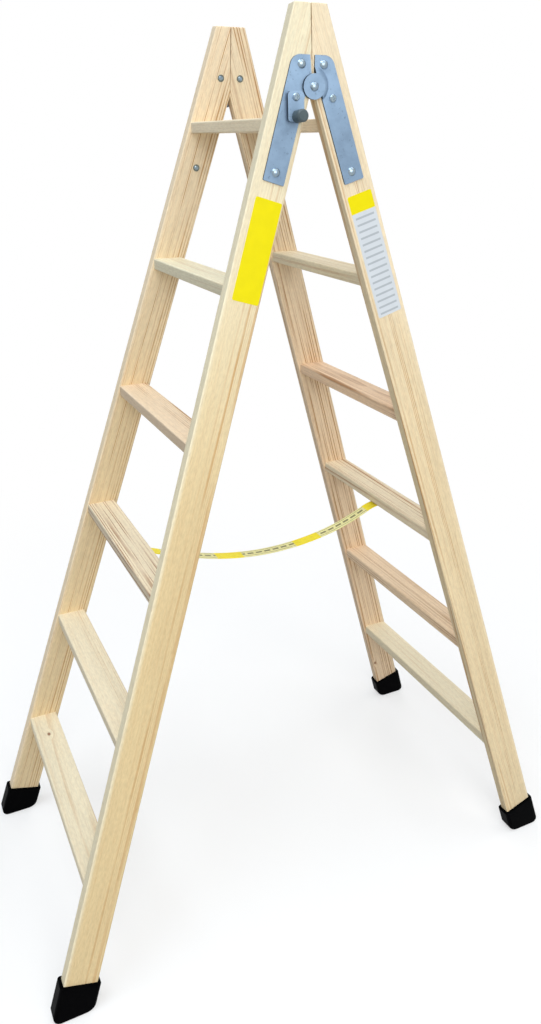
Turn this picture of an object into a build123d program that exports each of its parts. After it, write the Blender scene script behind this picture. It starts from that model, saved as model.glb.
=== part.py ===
"""Wooden double stepladder: two splayed frames of stiles and housed treads, joined at the head
by a pair of riveted strap hinges, with rubber feet and a webbing strap between the frames.

Frame: +Z up, X from the left frame to the right frame, Y from the near side to the far side.
The origin lies on the floor, midway between the four feet. Sizes are in millimetres and degrees.
"""
import os
from math import asin, atan, cos, radians, sin, tan

from build123d import *

# Whole ladder
LEAN = 17.1                 # lean of each frame from upright, seen from the near side
SPLAY = 3.95                # lean of each stile from upright, seen from the front of a frame
HEAD_WIDTH = 346.0          # over the stiles' outer faces, at the height of the hinge pins
TREAD_COUNT = 6             # treads in each frame
TREAD_PITCH = 250.0         # from one tread's top to the next
LOWEST_TREAD = 246.5        # top of the lowest tread above the floor
PIN_ABOVE_TREAD = 46.0      # hinge pin above the top of the highest tread
PIN_BELOW_MITRE = 2.0       # hinge pin below the foot of the mitre between the two stiles
HEAD_RISE = 118.5           # sawn top above the foot of the mitre

# Stiles and treads
STILE_WIDTH = 62.0
STILE_THICK = 21.0
STILE_ARRIS = 2.0           # rounding along a stile's long edges
STILE_TOP_EASE = 1.2        # chamfer round a stile's sawn top
MITRE_GAP_LOW = 0.4         # gap between left and right stile at the foot of the mitre
MITRE_GAP_TOP = 2.4         # the same gap at the sawn top
TREAD_THICK = 20.0
TREAD_SETBACK = 0.8         # a tread's edges lie this far inside the stiles' edges
TREAD_NOSE = 3.5            # rounding along a tread's upper edges
TREAD_EASE = 1.0            # chamfer along a tread's lower edges
HOUSING_DEPTH = 12.0        # how deep a tread's end is let into the stile

# Hinges
LEAF_THICK = 2.5
LEAF_INSET = 9.0            # leaf's inner edge from the stile's inner edge
LEAF_WIDTH = 37.0
LEAF_REACH = 160.0          # leaf's lower end, down the stile from the mitre
LEAF_OVER_RIVET = 13.5      # leaf's top above its upper rivet
LEAF_CORNER = 18.0          # rounding of a leaf's upper outer corner
LEAF_EASE = 2.0             # rounding of a leaf's lower corners
LEAF_SLIT_TOP = 8.4         # gap between the two leaves at their tops
LEAF_SLIT_LOW = 4.0         # the same gap where the knuckles close it
KNUCKLE_RADIUS = 19.0
KNUCKLE_LIFT = 0.35         # least room between the lower knuckle and the other stile as it swings
KNUCKLE_GAP = 0.3           # between the two knuckles
KNUCKLE_ROOM = 0.5          # between the lower knuckle's rim and the other leaf
BOSS_FLAT = 2.0             # level shoulder, outside the lower knuckle's rim, of the right leaf's boss
BOSS_RADIUS = 29.5          # foot of the boss that lifts the right leaf over the lower knuckle
BOSS_EASE = 8.0             # rounding of its shoulder
PIN_RADIUS = 5.0
PIN_FIXED = 0.02            # radial clearance of the pin in the knuckle that holds it
PIN_RUNNING = 0.05          # radial clearance of the pin in the knuckle that turns on it
PIN_HEAD_RADIUS = 7.25
PIN_HEAD_HEIGHT = 4.5
PIN_HEAD_GAP = 0.2

# Fasteners of the hinges
HOLE_CLEARANCE = 0.05       # radial clearance of a fastener in its hole
RIVET_OVER_KNUCKLE = 6.5    # upper rivet beyond the knuckle's rim, up the stile
RIVET_FROM_END = 16.5       # lower rivet from the leaf's lower end
RIVET_RADIUS = 3.0
RIVET_HEAD_RADIUS = 7.25
RIVET_HEAD_HEIGHT = 4.2
RIVET_TAIL_RADIUS = 4.5
RIVET_TAIL_CROWN = 3.0      # radius of the flat that the riveting leaves on the tail
RIVET_TAIL_HEIGHT = 2.2
WASHER_RADIUS = 6.3
WASHER_THICK = 1.2
SCREW_UNDER_KNUCKLE = 7.0   # wood screw beyond the knuckle's rim, down the stile
SCREW_RADIUS = 2.2
SCREW_BITE = 13.0           # length of a screw in the wood
SCREW_TIP = 4.0
SCREW_HEAD_RADIUS = 6.0
SCREW_HEAD_RIM = 1.5        # height of the head's upright edge
SCREW_HEAD_CROWN = 4.4      # radius of the head's flat top
SCREW_HEAD_HEIGHT = 3.2
SCREW_SLOT_LENGTH = 6.4
SCREW_SLOT_WIDTH = 1.3
SCREW_SLOT_DEPTH = 1.7

# Catch that hangs from the near left leaf
CATCH_CLEAR = 1.1           # back of the catch plate outside the upper knuckle
CATCH_THICK = 2.5
CATCH_WIDTH = 28.0
CATCH_ABOVE = 9.0           # plate above its screw
CATCH_BELOW = 36.0          # plate below its screw
CATCH_TOP_ROUND = 7.0
CATCH_LOW_ROUND = 4.0
CATCH_PLAY = 0.2            # play between the plate and what holds it
BUSH_RADIUS = 6.5
BUSH_NECK_RADIUS = 4.0
KNOB_DROP = 28.5            # knob's centre below the screw
KNOB_ASIDE = 2.0            # knob's centre beside the screw, towards the right frame
KNOB_RADIUS = 9.7
KNOB_LENGTH = 20.0
KNOB_BEVEL = 2.5
KNOB_STEM_RADIUS = 4.0

# Rubber feet
FOOT_WALL = 6.0
FOOT_SOLE = 12.0            # rubber under the stile's sawn end
FOOT_RIM = 53.5             # rim above the floor, measured up the stile's inner edge
FOOT_INNER_ROUND = 24.0     # rounding of the lower corner towards the other frame
FOOT_OUTER_ROUND = 13.0      # rounding of the other lower corner
FOOT_EDGE_ROUND = 7.0       # rounding of the upright corners
FOOT_SOLE_ROUND = 4.0       # rounding along the sole's near and far edges
FOOT_RIM_BEVEL = 1.8
FOOT_DRAFT = 0.5            # what the rounded lower corners start outside the foot's sides

# Webbing strap under the third treads; its route is (distance in from the tread, depth below it)
STRAP_TREAD = 3             # counted from the floor
STRAP_WIDTH = 25.0
STRAP_THICK = 1.8
STRAP_TAIL = 46.0           # strap's end, from the tread's inner lower edge
STRAP_SCREW_IN = 33.0       # strap's screw, from the tread's inner lower edge
STRAP_LEAVES = 4.0          # bend in the strap, outwards from the tread's inner lower edge
STRAP_ROUTE = [(40.0, 16.0), (91.0, 33.0), (145.0, 47.0), (199.0, 55.0)]
STRAP_SAG = 58.0
STRAP_BEND_SHARE = 0.45     # share of the shorter run beside a bend that its arc takes
STRAP_WASHER_RADIUS = 8.0
STRAP_WASHER_THICK = 1.2

# Angles and heights worked out from these
COS_SPLAY = cos(radians(SPLAY))
SIN_SPLAY = sin(radians(SPLAY))
TAN_SPLAY = tan(radians(SPLAY))
FACE_SLOPE = tan(radians(LEAN)) * COS_SPLAY
FACE_LEAN = atan(FACE_SLOPE)
STILE_RUN = STILE_WIDTH / cos(FACE_LEAN)
PIN_Z = LOWEST_TREAD + (TREAD_COUNT - 1) * TREAD_PITCH + PIN_ABOVE_TREAD
MITRE_V = PIN_BELOW_MITRE / COS_SPLAY
LOW_LIFT = KNUCKLE_RADIUS * TAN_SPLAY + KNUCKLE_LIFT
HIGH_LIFT = LOW_LIFT + LEAF_THICK + KNUCKLE_GAP
FASTENER_ACROSS = LEAF_INSET + LEAF_WIDTH / 2
RIVET_TOP_DOWN = PIN_BELOW_MITRE - KNUCKLE_RADIUS - RIVET_OVER_KNUCKLE
RIVET_LOW_DOWN = LEAF_REACH - RIVET_FROM_END
SCREW_DOWN = PIN_BELOW_MITRE + KNUCKLE_RADIUS + SCREW_UNDER_KNUCKLE
CATCH_LIFT = HIGH_LIFT + LEAF_THICK + CATCH_CLEAR

# A stile's face plane has its origin beside the pin, X level, Y up the face and Z outwards
NEAR_FACE = Plane(
    origin=(0, -HEAD_WIDTH / 2, PIN_Z), x_dir=(1, 0, 0), z_dir=(0, -COS_SPLAY, SIN_SPLAY)
)
FAR_FACE = Plane(
    origin=(0, HEAD_WIDTH / 2, PIN_Z), x_dir=(-1, 0, 0), z_dir=(0, COS_SPLAY, SIN_SPLAY)
)

FACE_AXIS = Axis(NEAR_FACE.origin, NEAR_FACE.z_dir)

os.makedirs("parts", exist_ok=True)


def save(part, name):
    """Label a finished piece and write it under its own name."""
    part.label = name
    export_step(part, f"parts/{name}.step")


def mirrored(part, plane):
    """The same piece on the other side of a plane."""
    with BuildPart() as other:
        mirror(part, about=plane)
    return other.part


def save_four(part, name):
    """Save a near left piece and its mirror images at the ladder's other three corners."""
    save(part, f"{name}_near_left")
    save(mirrored(part, Plane.XZ), f"{name}_far_left")
    save(mirrored(part, Plane.YZ), f"{name}_near_right")
    save(mirrored(mirrored(part, Plane.XZ), Plane.YZ), f"{name}_far_right")


def face_vector(u, v):
    """Direction in space of a direction on the near stiles' face."""
    return Vector(u, v * SIN_SPLAY, v * COS_SPLAY)


def face_v(height):
    """Distance up a stile's outer face, from the pin, of a height above the floor."""
    return (height - PIN_Z) / COS_SPLAY


def inner_u(v):
    """Level place of the left stile's inner edge on its face."""
    return (v - MITRE_V) * FACE_SLOPE


def outer_u(v):
    """Level place of the left stile's outer edge on its face."""
    return inner_u(v) - STILE_RUN


def leg_point(down, across):
    """Place on the left stile's face, down its inner edge from the mitre and across from there."""
    u = -down * sin(FACE_LEAN) - across * cos(FACE_LEAN)
    v = MITRE_V - down * cos(FACE_LEAN) + across * sin(FACE_LEAN)
    return (u, v)


def down_to(v, across):
    """How far down the left stile, on a line across from its inner edge, a level of the face is."""
    return (MITRE_V + across * sin(FACE_LEAN) - v) / cos(FACE_LEAN)


def on_leg(down, lift):
    """Location on the fasteners' line of the near left stile, square to its face."""
    u, v = leg_point(down, FASTENER_ACROSS)
    return NEAR_FACE.location * Location((u, v, lift))


def pin_plane(lift):
    """Plane square to the hinge pins, on the near side, at a distance outside the stiles."""
    return Plane(origin=(0, -HEAD_WIDTH / 2 - lift, PIN_Z), x_dir=(1, 0, 0), z_dir=(0, -1, 0))


def dome_middle(radius, height):
    """Point halfway along a dome's outline, from the rim of its flat base to its crown."""
    ball = (radius**2 + height**2) / (2 * height)
    half = asin(radius / ball) / 2
    return (ball * sin(half), height - ball + ball * cos(half))


def tread_top(number):
    """Height of a tread's top, counted from the floor."""
    return LOWEST_TREAD + (number - 1) * TREAD_PITCH


def tread_back(number):
    """Level place of the left tread's inner lower edge."""
    return inner_u(face_v(tread_top(number) - TREAD_THICK)) - TREAD_SETBACK


# Fasteners, drawn upright with the seat of the head at height 0
def make_screw(grip):
    """Cross-slot wood screw that clamps a thickness and bites into the wood under it."""
    end = -(grip + SCREW_BITE)
    outline = [
        (0, SCREW_HEAD_HEIGHT),
        (0, end),
        (SCREW_RADIUS, end + SCREW_TIP),
        (SCREW_RADIUS, 0),
        (SCREW_HEAD_RADIUS, 0),
        (SCREW_HEAD_RADIUS, SCREW_HEAD_RIM),
        (SCREW_HEAD_CROWN, SCREW_HEAD_HEIGHT),
    ]
    with BuildPart() as screw:
        with BuildSketch(Plane.XZ):
            with BuildLine():
                Polyline(*outline, close=True)
            make_face()
        revolve(axis=Axis.Z)
        with Locations((0, 0, SCREW_HEAD_HEIGHT)):
            Box(SCREW_SLOT_LENGTH, SCREW_SLOT_WIDTH, 2 * SCREW_SLOT_DEPTH, mode=Mode.SUBTRACT)
            Box(SCREW_SLOT_WIDTH, SCREW_SLOT_LENGTH, 2 * SCREW_SLOT_DEPTH, mode=Mode.SUBTRACT)
    return screw.part


def make_washer(radius, thick, bore):
    """Flat washer that stands on height 0."""
    with BuildPart() as washer:
        with BuildSketch():
            Circle(radius)
            Circle(bore + HOLE_CLEARANCE, mode=Mode.SUBTRACT)
        extrude(amount=thick)
    return washer.part


TAIL_SEAT = -(LEAF_THICK + STILE_THICK + WASHER_THICK)
head_x, head_z = dome_middle(RIVET_HEAD_RADIUS, RIVET_HEAD_HEIGHT)
with BuildPart() as rivet:
    with BuildSketch(Plane.XZ):
        with BuildLine():
            head_arc = ThreePointArc(
                (RIVET_HEAD_RADIUS, 0), (head_x, head_z), (0, RIVET_HEAD_HEIGHT)
            )
            Polyline(
                head_arc @ 1,
                (0, TAIL_SEAT - RIVET_TAIL_HEIGHT),
                (RIVET_TAIL_CROWN, TAIL_SEAT - RIVET_TAIL_HEIGHT),
                (RIVET_TAIL_RADIUS, TAIL_SEAT),
                (RIVET_RADIUS, TAIL_SEAT),
                (RIVET_RADIUS, 0),
                head_arc @ 0,
            )
        make_face()
    revolve(axis=Axis.Z)

rivet_washer = make_washer(WASHER_RADIUS, WASHER_THICK, RIVET_RADIUS)
strap_washer = make_washer(STRAP_WASHER_RADIUS, STRAP_WASHER_THICK, SCREW_RADIUS)
RIVET_PLACES = [on_leg(RIVET_TOP_DOWN, LEAF_THICK), on_leg(RIVET_LOW_DOWN, LEAF_THICK)]
WASHER_SEAT = -(STILE_THICK + WASHER_THICK)
WASHER_PLACES = [on_leg(RIVET_TOP_DOWN, WASHER_SEAT), on_leg(RIVET_LOW_DOWN, WASHER_SEAT)]

# Rivets and their washers, near and far ones of a frame together
with BuildPart() as rivets_left:
    with Locations(*RIVET_PLACES):
        add(rivet.part)
    mirror(about=Plane.XZ)
with BuildPart() as washers_left:
    with Locations(*WASHER_PLACES):
        add(rivet_washer)
    mirror(about=Plane.XZ)
save(rivets_left.part, "leaf_rivets_left")
save(mirrored(rivets_left.part, Plane.YZ), "leaf_rivets_right")
save(washers_left.part, "rivet_washers_left")
save(mirrored(washers_left.part, Plane.YZ), "rivet_washers_right")

# Screw that carries the catch, and pilot holes as wide as the screws
CATCH_GRIP = CATCH_LIFT + CATCH_THICK + CATCH_PLAY
with BuildPart() as catch_screw:
    with Locations(on_leg(SCREW_DOWN, CATCH_GRIP)):
        add(make_screw(CATCH_GRIP))
save(catch_screw.part, "catch_screw")
with BuildPart() as pilot:
    Cylinder(SCREW_RADIUS, 2 * SCREW_BITE)

# Strap between the third treads, flat under both and slack between them
STRAP_TOP = tread_top(STRAP_TREAD) - TREAD_THICK
STRAP_EDGE = tread_back(STRAP_TREAD)
STRAP_LEVEL = STRAP_TOP - STRAP_THICK / 2
strap_half = [(STRAP_EDGE - STRAP_TAIL, STRAP_LEVEL), (STRAP_EDGE - STRAP_LEAVES, STRAP_LEVEL)]
strap_half += [(STRAP_EDGE + along, STRAP_LEVEL - drop) for along, drop in STRAP_ROUTE]
strap_points = strap_half + [(0, STRAP_LEVEL - STRAP_SAG)]
strap_points += [(-x, z) for x, z in reversed(strap_half)]
strap_runs = [
    Vector(end) - Vector(start) for start, end in zip(strap_points[:-1], strap_points[1:])
]
strap_radii = []
for before, after in zip(strap_runs[:-1], strap_runs[1:]):
    shorter = min(before.length, after.length)
    half_turn = radians(before.get_angle(after)) / 2
    strap_radii.append(STRAP_BEND_SHARE * shorter / tan(half_turn))
with BuildPart() as strap:
    with BuildSketch(Plane.XZ):
        with BuildLine() as strap_line:
            FilletPolyline(*strap_points, radius=strap_radii)
        trace(line_width=STRAP_THICK)
    extrude(amount=STRAP_WIDTH / 2, both=True)
strap_length = sum(edge.length for edge in strap_line.edges())
strap_volume = STRAP_WIDTH * STRAP_THICK * strap_length
print("strap radii", [round(radius) for radius in strap_radii])
print("strap length", round(strap_length, 1), "volume share", strap.part.volume / strap_volume)

STRAP_SCREW_X = STRAP_EDGE - STRAP_SCREW_IN
STRAP_UNDER = STRAP_TOP - STRAP_THICK - STRAP_WASHER_THICK
strap_seat = Plane(origin=(STRAP_SCREW_X, 0, STRAP_UNDER), x_dir=(1, 0, 0), z_dir=(0, 0, -1))
with BuildPart() as strap_washer_left:
    with Locations((STRAP_SCREW_X, 0, STRAP_UNDER)):
        add(strap_washer)
with BuildPart() as strap_bored:
    add(strap.part)
    with Locations((STRAP_SCREW_X, 0, STRAP_TOP), (-STRAP_SCREW_X, 0, STRAP_TOP)):
        Cylinder(SCREW_RADIUS + HOLE_CLEARANCE, 4 * STRAP_THICK, mode=Mode.SUBTRACT)
save(strap_bored.part, "safety_strap")

# Other wood screws, of the leaves and the strap, those of a frame together
with BuildPart() as leaf_screw_near:
    with Locations(on_leg(SCREW_DOWN, LEAF_THICK)):
        add(make_screw(LEAF_THICK))
with BuildPart() as wood_screws_left:
    mirror(leaf_screw_near.part, about=Plane.XZ)
    with Locations(strap_seat):
        add(make_screw(STRAP_THICK + STRAP_WASHER_THICK))
with BuildPart() as wood_screws_right:
    add(leaf_screw_near.part)
    add(wood_screws_left.part)
    mirror(about=Plane.YZ, mode=Mode.REPLACE)
save(wood_screws_left.part, "wood_screws_left")
save(wood_screws_right.part, "wood_screws_right")
save(strap_washer_left.part, "strap_washer_left")
save(mirrored(strap_washer_left.part, Plane.YZ), "strap_washer_right")


# Treads, from the floor up
def make_tread(number):
    """Left board, its ends cut parallel to the stiles' faces at the depth of the housings."""
    nose = outer_u(face_v(tread_top(number))) + TREAD_SETBACK
    back = tread_back(number)
    web = STILE_THICK - HOUSING_DEPTH
    with BuildPart() as tread:
        with BuildSketch(Plane.XZ):
            with Locations(((nose + back) / 2, tread_top(number) - TREAD_THICK / 2)):
                Rectangle(back - nose, TREAD_THICK)
        extrude(amount=HEAD_WIDTH / 2 + PIN_Z * TAN_SPLAY, both=True)
        fillet(tread.edges().filter_by(Axis.Y).group_by(Axis.Z)[-1], TREAD_NOSE)
        chamfer(tread.edges().filter_by(Axis.Y).group_by(Axis.Z)[0], TREAD_EASE)
        split(bisect_by=NEAR_FACE.offset(-web), keep=Keep.BOTTOM)
        split(bisect_by=FAR_FACE.offset(-web), keep=Keep.BOTTOM)
        if number == STRAP_TREAD:
            with Locations((STRAP_SCREW_X, 0, STRAP_TOP)):
                add(pilot.part, mode=Mode.SUBTRACT)
    return tread.part


left_treads = [make_tread(number) for number in range(1, TREAD_COUNT + 1)]
for number, tread in enumerate(left_treads, start=1):
    save(tread, f"tread_left_{number}")
    save(mirrored(tread, Plane.YZ), f"tread_right_{number}")

# Stile, mitred at the head, housed for the treads and bored for the hinge
STILE_END_V = face_v(FOOT_SOLE)
TOP_V = MITRE_V + HEAD_RISE / COS_SPLAY
mitre_low_v = MITRE_V - MITRE_GAP_LOW / 2 / FACE_SLOPE
with BuildPart() as stile:
    with BuildSketch(NEAR_FACE):
        with BuildLine():
            Polyline(
                (-MITRE_GAP_LOW / 2, mitre_low_v),
                (-MITRE_GAP_TOP / 2, TOP_V),
                (outer_u(TOP_V), TOP_V),
                (outer_u(STILE_END_V), STILE_END_V),
                (inner_u(STILE_END_V), STILE_END_V),
                close=True,
            )
        make_face()
    extrude(amount=-STILE_THICK)
    chamfer(stile.faces().sort_by(Axis.Z)[-1].edges(), STILE_TOP_EASE)
    fillet(stile.edges().filter_by(lambda edge: edge.length > TREAD_PITCH), STILE_ARRIS)
    for tread in left_treads:
        add(tread, mode=Mode.SUBTRACT)
    with Locations(*RIVET_PLACES):
        Cylinder(RIVET_RADIUS + HOLE_CLEARANCE, 4 * STILE_THICK, mode=Mode.SUBTRACT)
    with Locations(on_leg(SCREW_DOWN, 0)):
        add(pilot.part, mode=Mode.SUBTRACT)
save_four(stile.part, "stile")

# Rubber foot: a socket round the stile's end, with a level sole
RIM_DOWN = down_to(face_v(0), 0) - FOOT_RIM
rim_u, rim_v = leg_point(RIM_DOWN, STILE_WIDTH / 2)
rim_plane = Plane(
    origin=NEAR_FACE.from_local_coords((rim_u, rim_v, -STILE_THICK / 2)),
    x_dir=face_vector(-cos(FACE_LEAN), sin(FACE_LEAN)),
    z_dir=face_vector(-sin(FACE_LEAN), -cos(FACE_LEAN)),
)
foot_run = (STILE_WIDTH + 2 * FOOT_WALL + 2 * FOOT_DRAFT) / cos(radians(LEAN))
sole_in = inner_u(face_v(STILE_THICK / 2 * SIN_SPLAY)) + (FOOT_WALL + FOOT_DRAFT) / cos(radians(LEAN))
foot_high = 2 * FOOT_RIM
foot_shift = foot_high * tan(radians(LEAN))
with BuildPart() as foot:
    with BuildSketch(rim_plane):
        RectangleRounded(STILE_WIDTH + 2 * FOOT_WALL, STILE_THICK + 2 * FOOT_WALL, FOOT_EDGE_ROUND)
    extrude(amount=foot_high)
    chamfer(foot.faces().sort_by(Axis.Z)[-1].edges(), FOOT_RIM_BEVEL)
    with BuildSketch(Plane.XZ) as foot_outline:
        with BuildLine():
            Polyline(
                (sole_in, 0),
                (sole_in + foot_shift, foot_high),
                (sole_in + foot_shift - foot_run, foot_high),
                (sole_in - foot_run, 0),
                close=True,
            )
        make_face()
        fillet(foot_outline.vertices().sort_by_distance((sole_in, 0))[0], FOOT_INNER_ROUND)
        fillet(foot_outline.vertices().sort_by_distance((sole_in - foot_run, 0))[0], FOOT_OUTER_ROUND)
    extrude(amount=HEAD_WIDTH / 2 + PIN_Z * TAN_SPLAY + STILE_THICK, mode=Mode.INTERSECT)
    fillet(foot.faces().sort_by(Axis.Z)[0].edges().filter_by(Axis.X), FOOT_SOLE_ROUND)
    add(stile.part, mode=Mode.SUBTRACT)
save_four(foot.part, "foot")

# Outline of a left leaf on the stile's face; it ends inside the knuckle's disc
leaf_top_v = leg_point(RIVET_TOP_DOWN, FASTENER_ACROSS)[1] + LEAF_OVER_RIVET
leaf_outer = LEAF_INSET + LEAF_WIDTH
leaf_corner = leg_point(down_to(leaf_top_v, leaf_outer), leaf_outer)
leaf_outline = [
    (-LEAF_SLIT_TOP / 2, leaf_top_v),
    leaf_corner,
    leg_point(LEAF_REACH, leaf_outer),
    leg_point(LEAF_REACH, LEAF_INSET),
    leg_point(KNUCKLE_RADIUS / 2, LEAF_INSET),
    (-LEAF_SLIT_LOW / 2, KNUCKLE_RADIUS / 2),
]
with BuildPart() as leaf_arm:
    with BuildSketch(NEAR_FACE) as leaf_sketch:
        with BuildLine():
            Polyline(*leaf_outline, close=True)
        make_face()
        fillet(leaf_sketch.vertices().sort_by_distance(leaf_corner)[0], LEAF_CORNER)
        fillet(leaf_sketch.vertices().sort_by(Axis.Y)[:2], LEAF_EASE)
    extrude(amount=LEAF_THICK)
    with Locations(*RIVET_PLACES):
        Cylinder(RIVET_RADIUS + HOLE_CLEARANCE, 4 * LEAF_THICK, mode=Mode.SUBTRACT)
    with Locations(on_leg(SCREW_DOWN, LEAF_THICK)):
        Cylinder(SCREW_RADIUS + HOLE_CLEARANCE, 4 * LEAF_THICK, mode=Mode.SUBTRACT)

# Left leaf: its knuckle lies nearest the wood and holds the pin
with BuildPart() as leaf_left:
    add(leaf_arm.part)
    with BuildSketch(pin_plane(LOW_LIFT)):
        Circle(KNUCKLE_RADIUS)
    extrude(amount=LEAF_THICK)
    with BuildSketch(pin_plane(0)):
        Circle(PIN_RADIUS + PIN_FIXED)
    extrude(amount=HIGH_LIFT, mode=Mode.SUBTRACT)
save(leaf_left.part, "hinge_leaf_near_left")
save(mirrored(leaf_left.part, Plane.XZ), "hinge_leaf_far_left")

# Right leaf, drawn on the left: pressed up into a boss over the lower knuckle, and turning on the pin
boss_top = HIGH_LIFT + LEAF_THICK
boss_low = LEAF_THICK - BOSS_RADIUS * SIN_SPLAY
with BuildPart() as boss_cone:
    with Locations(pin_plane((boss_low + boss_top) / 2)):
        Cone(BOSS_RADIUS, KNUCKLE_RADIUS + BOSS_FLAT, boss_top - boss_low)
    fillet(boss_cone.edges().sort_by(Axis.Y)[0], BOSS_EASE)
with BuildPart() as leaf_right:
    add(leaf_sketch.sketch)
    extrude(amount=boss_top + BOSS_RADIUS * SIN_SPLAY, dir=NEAR_FACE.z_dir)
    add(boss_cone.part, mode=Mode.INTERSECT)
    add(leaf_arm.part)
    with BuildSketch(pin_plane(HIGH_LIFT)):
        Circle(KNUCKLE_RADIUS)
    extrude(amount=LEAF_THICK)
    with BuildSketch(pin_plane(HIGH_LIFT)):
        Circle(KNUCKLE_RADIUS + KNUCKLE_ROOM)
    extrude(amount=-2 * HIGH_LIFT, mode=Mode.SUBTRACT)
    with BuildSketch(pin_plane(HIGH_LIFT)):
        Circle(PIN_RADIUS + PIN_RUNNING)
    extrude(amount=2 * LEAF_THICK, both=True, mode=Mode.SUBTRACT)
save(mirrored(leaf_right.part, Plane.YZ), "hinge_leaf_near_right")
save(mirrored(mirrored(leaf_right.part, Plane.YZ), Plane.XZ), "hinge_leaf_far_right")

# Hinge pins, from the back of the left knuckle to a domed head
pin_seat = HIGH_LIFT + LEAF_THICK + PIN_HEAD_GAP
dome_x, dome_z = dome_middle(PIN_HEAD_RADIUS, PIN_HEAD_HEIGHT)
with BuildPart() as pin_upright:
    with BuildSketch(Plane.XZ):
        with BuildLine():
            crown = ThreePointArc(
                (PIN_HEAD_RADIUS, pin_seat), (dome_x, pin_seat + dome_z), (0, pin_seat + PIN_HEAD_HEIGHT)
            )
            Polyline(
                crown @ 1,
                (0, LOW_LIFT),
                (PIN_RADIUS, LOW_LIFT),
                (PIN_RADIUS, pin_seat),
                crown @ 0,
            )
        make_face()
    revolve(axis=Axis.Z)
with BuildPart() as pins:
    with Locations(pin_plane(0)):
        add(pin_upright.part)
    mirror(about=Plane.XZ)
save(pins.part, "hinge_pins")

# Catch: a shouldered bush on the near left screw, a plate that swings on it, and a knob
CATCH_FACE = Plane(on_leg(SCREW_DOWN, 0))
PLATE_FACE = CATCH_FACE.offset(CATCH_LIFT)
with BuildPart() as bush:
    with BuildSketch(CATCH_FACE.offset(LEAF_THICK)):
        Circle(BUSH_RADIUS)
    extrude(amount=CATCH_LIFT - CATCH_PLAY - LEAF_THICK)
    with BuildSketch(CATCH_FACE.offset(LEAF_THICK)):
        Circle(BUSH_NECK_RADIUS)
    extrude(amount=CATCH_GRIP - LEAF_THICK)
    with BuildSketch(CATCH_FACE):
        Circle(SCREW_RADIUS + HOLE_CLEARANCE)
    extrude(amount=2 * CATCH_GRIP, mode=Mode.SUBTRACT)
save(bush.part, "catch_bush")

with BuildPart() as plate:
    with BuildSketch(PLATE_FACE) as plate_sketch:
        with Locations((0, (CATCH_ABOVE - CATCH_BELOW) / 2)):
            Rectangle(CATCH_WIDTH, CATCH_ABOVE + CATCH_BELOW)
        fillet(plate_sketch.vertices().group_by(Axis.Y)[-1], CATCH_TOP_ROUND)
        fillet(plate_sketch.vertices().group_by(Axis.Y)[0], CATCH_LOW_ROUND)
        Circle(BUSH_NECK_RADIUS + PIN_RUNNING, mode=Mode.SUBTRACT)
        with Locations((KNOB_ASIDE, -KNOB_DROP)):
            Circle(KNOB_STEM_RADIUS + PIN_FIXED, mode=Mode.SUBTRACT)
    extrude(amount=CATCH_THICK)
save(plate.part, "catch_plate")

with BuildPart() as knob:
    with BuildSketch(PLATE_FACE.offset(CATCH_THICK)):
        with Locations((KNOB_ASIDE, -KNOB_DROP)):
            Circle(KNOB_RADIUS)
    extrude(amount=KNOB_LENGTH)
    chamfer(knob.faces().sort_by(FACE_AXIS)[-1].edges(), KNOB_BEVEL)
    with BuildSketch(PLATE_FACE):
        with Locations((KNOB_ASIDE, -KNOB_DROP)):
            Circle(KNOB_STEM_RADIUS)
    extrude(amount=CATCH_THICK)
save(knob.part, "catch_knob")
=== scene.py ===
"""Looks of a wooden double stepladder.

Pine boards, zinc hinges, a webbing strap, rubber feet, blank labels and a stage.
"""

import math
from typing import NamedTuple

import bmesh
import bpy
from bpy.props import FloatProperty, FloatVectorProperty, PointerProperty
from mathutils import Matrix, Vector


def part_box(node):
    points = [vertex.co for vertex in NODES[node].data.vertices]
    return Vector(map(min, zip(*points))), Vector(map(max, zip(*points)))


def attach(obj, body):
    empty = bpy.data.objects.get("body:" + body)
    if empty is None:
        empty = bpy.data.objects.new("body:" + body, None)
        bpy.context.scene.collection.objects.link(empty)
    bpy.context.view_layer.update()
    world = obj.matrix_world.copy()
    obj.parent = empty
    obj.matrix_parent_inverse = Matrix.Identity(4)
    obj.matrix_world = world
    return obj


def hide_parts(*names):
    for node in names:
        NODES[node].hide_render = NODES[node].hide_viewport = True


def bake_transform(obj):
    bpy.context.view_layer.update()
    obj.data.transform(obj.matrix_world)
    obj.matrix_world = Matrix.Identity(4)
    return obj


bl_info = {
    "name": "Wooden stepladder",
    "version": (1, 0, 0),
    "blender": (4, 5, 0),
    "location": "View3D > Sidebar > Stepladder",
    "description": "Finishes, strap, labels and stage of a wooden double stepladder",
    "category": "Object",
}

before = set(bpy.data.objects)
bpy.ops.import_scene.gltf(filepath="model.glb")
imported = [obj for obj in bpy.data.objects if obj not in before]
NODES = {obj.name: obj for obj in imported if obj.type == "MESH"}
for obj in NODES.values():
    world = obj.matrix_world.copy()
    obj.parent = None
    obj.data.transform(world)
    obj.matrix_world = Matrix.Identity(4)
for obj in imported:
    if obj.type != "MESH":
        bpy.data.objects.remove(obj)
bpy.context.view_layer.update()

# Height of the photograph's frame, in pixels
PHOTO_HEIGHT = 1024

# The stiles' slant and the height of the hinge pins, as in the construction
LEAN = math.radians(17.1)
SPLAY = math.radians(3.95)
FACE_LEAN = math.atan(math.tan(LEAN) * math.cos(SPLAY))
PIN_HEIGHT = 1.5425
HALF_HEAD = 0.173
MITRE_OVER_PIN = 0.002 / math.cos(SPLAY)

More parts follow.
